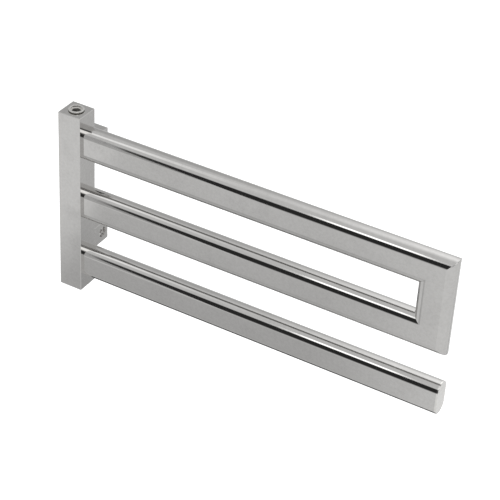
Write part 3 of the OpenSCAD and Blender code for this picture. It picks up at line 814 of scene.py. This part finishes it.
def plain_metal(name, tint, dull_tint, shine, groups, stretch, depth):
    """A turned, rolled or drawn metal with its tool lines showing, depth metres deep."""
    material, tree, shader, place = new_material(name)
    haze = tree.group(groups["haze"], Vector=place, Patch_size=SMALL_PATCH).outputs["Haze"]
    lines = tree.group(groups["lines"], Vector=place, Stretch=stretch).outputs
    tone = tree.math("MULTIPLY", lines["Lines"], LINE_TINT)
    soiled = tree.math("ADD", tone, tree.math("MULTIPLY", haze, HAZE_TINT), clamp=True)
    shader.inputs["Metallic"].default_value = 1.0
    finish_shader(tree, shader, tree.mix_colour(soiled, tint, dull_tint),
                  tree.spread(soiled, 0.0, 1.0, shine, shine + METAL_ROUGHNESS),
                  {"Height": lines["Height"], "Distance": depth, "Strength": 0.8})
    return material


def inlet_metal(name, tint, dull_tint, shine, groups):
    """The inlet's satin ring, with a dark matt grey inside its bore that is painted shade for the
    dark of the hole, told apart by the distance from the inlet's axis."""
    material, tree, shader, place = new_material(name)
    haze = tree.group(groups["haze"], Vector=place, Patch_size=SMALL_PATCH).outputs["Haze"]
    lines = tree.group(groups["lines"], Vector=place, Stretch=EVEN_MARKS).outputs
    away = tree.add("VectorMath", {0: place, 1: POST_AXIS}, operation="SUBTRACT").outputs[0]
    flat = tree.add("VectorMath", {0: away, 1: (1, 1, 0)}, operation="MULTIPLY").outputs[0]
    radius = tree.add("VectorMath", {0: flat}, operation="LENGTH").outputs["Value"]
    # Mask: 1 on the satin ring, 0 on the bore's wall, which carries the painted shade
    beyond_bore_shade = tree.spread(radius, BUSH_BORE + 0.05 * MM, BUSH_BORE + THREAD_EDGE)
    outside = tree.mix_colour(haze, tint, dull_tint)
    # Painted shade: the bore's wall gets a dark matt grey and no metal, so that the hole reads
    # dark
    inside = tree.mix_colour(lines["Lines"], (0.15, 0.147, 0.14, 1), (0.10, 0.097, 0.09, 1))
    rough = tree.spread(haze, 0.0, 1.0, shine, shine + RING_ROUGHNESS)
    matt = tree.spread(beyond_bore_shade, 0.0, 1.0, BORE_ROUGHNESS, 0.0)
    tree.put(shader.inputs["Metallic"], beyond_bore_shade)
    finish_shader(tree, shader, tree.mix_colour(beyond_bore_shade, inside, outside),
                  tree.math("ADD", rough, matt),
                  {"Height": lines["Height"], "Distance": INLET_HEIGHT, "Strength": 0.8})
    return material


def moulded(name, colour, worn_colour, shine, grain, depth, groups):
    """Rubber, silicone, ceramic or moulded plastic: a fine even grain, depth metres deep,
    with cloudy wear."""
    material, tree, shader, place = new_material(name)
    haze = tree.group(groups["haze"], Vector=place, Patch_size=MOULDED_PATCH).outputs["Haze"]
    fine = tree.noise(place, grain, detail=3.0, roughness=0.6)
    specks = tree.spread(fine, 0.4, 0.8, 0.0, GRAIN_TINT)
    worn = tree.math("ADD", tree.math("MULTIPLY", haze, MOULDED_HAZE_TINT), specks)
    finish_shader(tree, shader, tree.mix_colour(worn, colour, worn_colour),
                  tree.spread(worn, 0.0, 1.0, shine, shine + MOULDED_ROUGHNESS),
                  {"Height": fine, "Distance": depth, "Strength": 0.7})
    return material


def make_materials():
    """Every finish by its short name. Colours are linear, and a second one is the worn tone."""
    groups = {"haze": make_haze_group(), "lines": make_lines_group(),
              "wave": make_wave_group(), "dust": make_dust_group()}
    chrome = (0.617, 0.610, 0.599, 1)
    dull_chrome = (0.545, 0.538, 0.528, 1)
    steel, dull_steel = (0.52, 0.52, 0.53, 1), (0.36, 0.36, 0.37, 1)
    brass, dull_brass = (0.72, 0.53, 0.24, 1), (0.45, 0.32, 0.14, 1)
    return {
        "bars": polished_metal("polished_bars", chrome, dull_chrome, 0.05, 0.10, groups,
                               BAR_MARKS),
        "post": polished_metal("polished_post", chrome, dull_chrome, 0.06, 0.11, groups,
                               POST_MARKS),
        "end": polished_metal("satin_end", (0.80, 0.79, 0.77, 1), (0.72, 0.71, 0.69, 1), 0.16,
                              0.24, groups, EVEN_MARKS),
        "ring": inlet_metal("satin_ring", (0.76, 0.75, 0.73, 1), (0.66, 0.65, 0.63, 1), 0.26,
                            groups),
        "steel": plain_metal("turned_steel", steel, dull_steel, 0.28, groups, EVEN_MARKS,
                             4 * MICRON),
        "sheet": plain_metal("rolled_sheet", steel, dull_steel, 0.32, groups, SHEET_MARKS,
                             3 * MICRON),
        "screw": plain_metal("lock_screw_steel", (0.78, 0.77, 0.76, 1), (0.62, 0.61, 0.60, 1),
                             0.30, groups, EVEN_MARKS, 3 * MICRON),
        "brass": plain_metal("turned_brass", brass, dull_brass, 0.24, groups, EVEN_MARKS,
                             3 * MICRON),
        "saddle": plain_metal("extruded_aluminium", (0.66, 0.67, 0.68, 1),
                              (0.46, 0.47, 0.48, 1), 0.35, groups, SADDLE_MARKS, 5 * MICRON),
        "rubber": moulded("gasket_rubber", (0.07, 0.065, 0.058, 1), (0.12, 0.115, 0.105, 1),
                          0.55, 2500, 20 * MICRON, groups),
        "silicone": moulded("cable_silicone", (0.30, 0.035, 0.025, 1), (0.42, 0.10, 0.08, 1),
                            0.45, 1800, 10 * MICRON, groups),
        "ceramic": moulded("terminal_ceramic", (0.80, 0.78, 0.72, 1), (0.62, 0.59, 0.52, 1),
                           0.25, 1500, 10 * MICRON, groups),
        "cutout": moulded("cutout_casing", (0.72, 0.72, 0.70, 1), (0.5, 0.5, 0.47, 1),
                          0.40, 1600, 10 * MICRON, groups),
    }


# The finish of each hidden node that keeps its own mesh
INNER_FINISHES = {
    "sheet": ("foot_anchor_bar", "wiring_chassis", "cutout_strap", "cutout_rivets",
              "earth_washer"),
    "steel": ("inlet_lock_nut", "chassis_nut", "terminal_fixing_screws"),
    "brass": ("cable_ferrules", "terminal_clamp_screws", "earth_stud", "earth_nut"),
    "saddle": ("loop_heat_saddles", "hairpin_heat_saddles"),
    "silicone": ("heating_cable", "cutout_leads"),
    "ceramic": ("terminal_block",),
    "cutout": ("thermal_cutout",),
}


def dress_inner_nodes(materials):
    """The nodes inside the tubes keep their own meshes and are given their finishes."""
    for finish, names in INNER_FINISHES.items():
        for name in names:
            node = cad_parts[name]
            node.data.materials.clear()
            node.data.materials.append(materials[finish])


# Studio

# The tent's cards, each laid over those before it. Angles are in degrees round the X axis, from
# the room's side at 0 up over the top, and places along X in metres. Low and High are a card's
# edges by angle at CARD_MIDDLE, and a slope is an edge's change of angle per metre. Left and
# Right are its edges along X, at the angle 0, and Left_lean moves the left one by metres per
# degree. Low_soft, High_soft and Soft_reach are the widths over which the edges fade. What a
# card leaves out is as make_card_group has it, with edges past both ends of the tent.
TENT_CARDS = {
    "under": dict(Low=-170, High=-37.5, Soft_reach=1, Brightness=0.54),
    "under_light": dict(Low=-98, High=-56, High_soft=12, Soft_reach=1, Brightness=0.58),
    "under_dark": dict(Low=-143, Low_soft=6, High=-85, Right=0.6, Soft_reach=0.5,
                       Brightness=0.05),
    "far_left": dict(Low=-122, Low_soft=8, High=-30, Right=-3.1, Soft_reach=0.3,
                     Brightness=0.78),
    "far_under": dict(Low=-185, High=-80, Left=0.9, Soft_reach=0.5, Brightness=0.82),
    "post_side": dict(Low=-165, High=-112, Left=2.45, Right=3.3, Brightness=0.63),
    "post_side_low": dict(Low=-140.5, Low_soft=5, High=-112, Left=2.45, Right=3.3,
                          Brightness=0.45),
    "root_front": dict(Low=-20, Low_soft=16, High=7, High_soft=16, Right=-2.0, Soft_reach=0.7,
                       Brightness=0.47),
    "post_front": dict(Low=-40.5, Low_soft=6, High=-20, High_soft=12, Right=-2.66,
                       Brightness=0.86),
    "right_front": dict(Low=-87, Low_soft=20, High=-6.5, High_soft=20, Left=-1.1,
                        Soft_reach=0.9, Brightness=0.84),
    "left_ridge": dict(Low=62, Low_soft=9, High=98, High_slope=26, High_soft=9, Right=-2.22,
                       Soft_reach=1.1, Brightness=1.32),
    "behind_left": dict(Low=128, Low_soft=45, High=200, High_soft=45, Right=-1.25,
                        Soft_reach=0.8, Brightness=0.53),
    "right_over": dict(Low=67, Low_slope=34, Low_soft=50, High=154, High_soft=50, Left=-1.35,
                       Soft_reach=1.8, Brightness=1.42),
    "mid_right": dict(Low=67, Low_soft=18, High=79, High_soft=18, Left=-1.8, Soft_reach=0.5,
                      Brightness=0.75),
    "dark": dict(Low=-28, Low_slope=4, Low_soft=20, High=27, High_slope=1, High_soft=9,
                 Left=-2.46, Left_lean=-0.02, Right=-0.3, Soft_reach=0.06, Brightness=0.03),
    "root_light": dict(Low=-25, High=32, Right=-2.55, Soft_reach=0.03, Brightness=0.55),
    "strip": dict(Low=28, Low_soft=5, High=44, High_soft=8, Left=-1.55, Right=-1.06,
                  Brightness=2.2),
    "far_dark": dict(Low=-14, High=30, Left=2.0, Right=3.6, Soft_reach=0.3, Brightness=0.05),
    "far_bright": dict(Low=40, Low_soft=6, High=72, High_soft=6, Left=1.9, Right=3.8,
                       Soft_reach=0.3, Brightness=2.1),
    "far_black": dict(Low=76, Low_soft=5, High=94, High_soft=5, Left=1.9, Right=3.8,
                      Soft_reach=0.3, Brightness=0.15),
}
SURROUND = 0.75
CARD_MIDDLE = -2.0


def make_card_group():
    """A soft-edged card laid over the tent's level so far. Its mask is the product of four
    smooth steps, one at each edge, 1 inside and 0 outside, and the level given out is the
    level + mask * (brightness - level)."""
    group, tree, given, give = new_group(
        "tent_card",
        [("Angle", "Float", 0.0), ("Along", "Float", 0.0), ("Level", "Float", SURROUND),
         ("Low", "Float", -10.0), ("Low slope", "Float", 0.0), ("Low soft", "Float", 10.0),
         ("High", "Float", 10.0), ("High slope", "Float", 0.0), ("High soft", "Float", 10.0),
         ("Left", "Float", -9.0), ("Left lean", "Float", 0.0), ("Right", "Float", 9.0),
         ("Soft reach", "Float", 0.1), ("Brightness", "Float", 1.0)],
        [("Level", "Float")])

    def past(value, edge, softness):
        half = tree.math("MULTIPLY", softness, 0.5)
        return tree.spread(value, tree.math("SUBTRACT", edge, half),
                           tree.math("ADD", edge, half), curve="SMOOTHSTEP")

    aside = tree.math("SUBTRACT", given["Along"], CARD_MIDDLE)
    low = tree.math("ADD", given["Low"], tree.math("MULTIPLY", aside, given["Low slope"]))
    high = tree.math("ADD", given["High"], tree.math("MULTIPLY", aside, given["High slope"]))
    left = tree.math("ADD", given["Left"],
                     tree.math("MULTIPLY", given["Angle"], given["Left lean"]))
    soft_reach = given["Soft reach"]
    over = tree.math("SUBTRACT", 1.0, past(given["Angle"], high, given["High soft"]))
    beyond = tree.math("SUBTRACT", 1.0, past(given["Along"], given["Right"], soft_reach))
    mask = tree.math("MULTIPLY", past(given["Angle"], low, given["Low soft"]), over)
    mask = tree.math("MULTIPLY", mask, past(given["Along"], left, soft_reach))
    mask = tree.math("MULTIPLY", mask, beyond)
    change = tree.math("SUBTRACT", given["Brightness"], given["Level"])
    give(Level=tree.math("ADD", given["Level"], tree.math("MULTIPLY", mask, change)))
    return group


def stage_mesh(name, points, quads, material):
    """A mesh of the studio, which is no part of the object."""
    mesh = bpy.data.meshes.new(name)
    mesh.from_pydata(points.tolist(), [], quads.tolist())
    mesh.materials.append(material)
    thing = bpy.data.objects.new(name, mesh)
    bpy.context.scene.collection.objects.link(thing)
    return thing


def tent_light():
    """The tent glows from its own cards, by the angle round X and the place along X."""
    material = bpy.data.materials.new("tent_light")
    material.use_nodes = True
    tree = Tree(material.node_tree)
    tree.nodes.clear()
    split = tree.add("SeparateXYZ", {0: tree.add("TexCoord").outputs["Object"]}).outputs
    angle = tree.math("ARCTAN2", split["Z"], tree.math("MULTIPLY", split["Y"], -1.0))
    angle = tree.math("MULTIPLY", angle, math.degrees(1))
    level = SURROUND
    card = make_card_group()
    for edges in TENT_CARDS.values():
        node = tree.group(card, Angle=angle, Along=split["X"], Level=level, **edges)
        level = node.outputs["Level"]
    glow = tree.add("Emission", {"Strength": level})
    tree.add("OutputMaterial", {"Surface": glow.outputs[0]})
    material.cycles.emission_sampling = "NONE"
    return material


def build_tent():
    """A tube round the X axis, closed at its ends: at the angle a and the place x it stands at
    (x, -radius * cos a, radius * sin a). It lights the object and shows only in mirrors."""
    circle = unit_circle(TENT_TURN)
    place = Place((0, 0, 0), (0, -1, 0), (0, 0, 1), (1, 0, 0))
    stops = [TENT_ENDS[0], *TENT_ENDS, TENT_ENDS[1]]
    sizes = [TENT_TIP, TENT_RADIUS, TENT_RADIUS, TENT_TIP]
    rings = [ring(place, circle * r, x, circle) for r, x in zip(sizes, stops)]
    points, _, quads = skin(rings)
    tent = stage_mesh("light_tent", points, quads, tent_light())
    tent.visible_camera = False
    tent.visible_shadow = False


def build_floor():
    """A pale floor that the camera sees as white, with the object's shadow on it."""
    material, tree, shader, place = new_material("pale_floor")
    pale = tree.spread(tree.noise(place, 3.0), 0.3, 0.7, *FLOOR_TONES)
    tree.put(shader.inputs["Base Color"], tree.add(
        "CombineColor", {"Red": pale, "Green": pale, "Blue": pale}).outputs[0])
    shader.inputs["Roughness"].default_value = FLOOR_ROUGHNESS
    shader.inputs["Emission Color"].default_value = (1, 1, 1, 1)
    seen = tree.add("LightPath").outputs["Is Camera Ray"]
    tree.put(shader.inputs["Emission Strength"], tree.math("MULTIPLY", seen, FLOOR_LIFT))
    corners = np.array([(-1, -1), (1, -1), (1, 1), (-1, 1)]) * FLOOR_REACH
    points = np.column_stack([corners, np.full(4, FLOOR_LEVEL)])
    floor = stage_mesh("floor", points, np.array([[0, 1, 2, 3]]), material)
    floor.visible_glossy = False


def build_world():
    """White where it is seen or mirrored, and a plain even light elsewhere."""
    world = bpy.data.worlds.new("studio")
    bpy.context.scene.world = world
    world.use_nodes = True
    tree = Tree(world.node_tree)
    tree.nodes.clear()
    rays = tree.add("LightPath").outputs
    seen = tree.math("MAXIMUM", rays["Is Camera Ray"],
                     tree.math("MAXIMUM", rays["Is Glossy Ray"], rays["Is Transmission Ray"]))
    light = tree.add("Background", {"Color": (1, 1, 1, 1), "Strength": tree.spread(
        seen, 0.0, 1.0, SURROUND, 1.0)})
    tree.add("OutputWorld", {"Surface": light.outputs[0]})


def build_lamp():
    """One large soft lamp, up and in front, for the floor's shadow and the unpolished pieces."""
    data = bpy.data.lights.new("soft_key", "AREA")
    data.shape = "RECTANGLE"
    data.size, data.size_y = LAMP_SIZE
    data.energy = LAMP_POWER
    lamp = bpy.data.objects.new("soft_key", data)
    bpy.context.scene.collection.objects.link(lamp)
    lamp.location = LAMP_PLACE
    back = np.array(LAMP_PLACE) - POST_MID
    back /= np.linalg.norm(back)
    across = np.cross((0, 0, 1), back)
    across /= np.linalg.norm(across)
    toward = Matrix(np.column_stack([across, np.cross(back, across), back]).tolist())
    lamp.rotation_euler = toward.to_euler()
    lamp.visible_glossy = False
    lamp.visible_camera = False


def build_camera():
    """The camera looks along -back, where back stands at the azimuth and elevation, and turns
    by the roll: right' = cos * right + sin * up and up' = cos * up - sin * right."""
    azimuth, elevation, roll = CAMERA_AZIMUTH, CAMERA_ELEVATION, CAMERA_ROLL
    right = np.array([math.cos(azimuth), math.sin(azimuth), 0])
    back = np.array([math.sin(azimuth) * math.cos(elevation),
                     -math.cos(azimuth) * math.cos(elevation), math.sin(elevation)])
    up = np.cross(back, right)
    turned_right = math.cos(roll) * right + math.sin(roll) * up
    turned_up = math.cos(roll) * up - math.sin(roll) * right
    data = bpy.data.cameras.new("camera")
    data.sensor_width = CAMERA_SENSOR
    data.lens = CAMERA_LENS
    camera = bpy.data.objects.new("camera", data)
    bpy.context.scene.collection.objects.link(camera)
    axes = Matrix(np.column_stack([turned_right, turned_up, back]).tolist())
    camera.matrix_world = Matrix.Translation(CAMERA_PLACE) @ axes.to_4x4()
    bpy.context.scene.camera = camera


def main():
    bpy.context.scene.view_settings.view_transform = "Standard"
    build_camera()
    build_world()
    build_tent()
    build_floor()
    build_lamp()
    materials = make_materials()
    build_bars(materials["bars"], materials["end"])
    build_post(materials["post"], materials["screw"])
    build_inlet(materials["ring"], materials["rubber"])
    build_brackets(materials["post"], materials["steel"], materials["screw"])
    dress_inner_nodes(materials)


main()
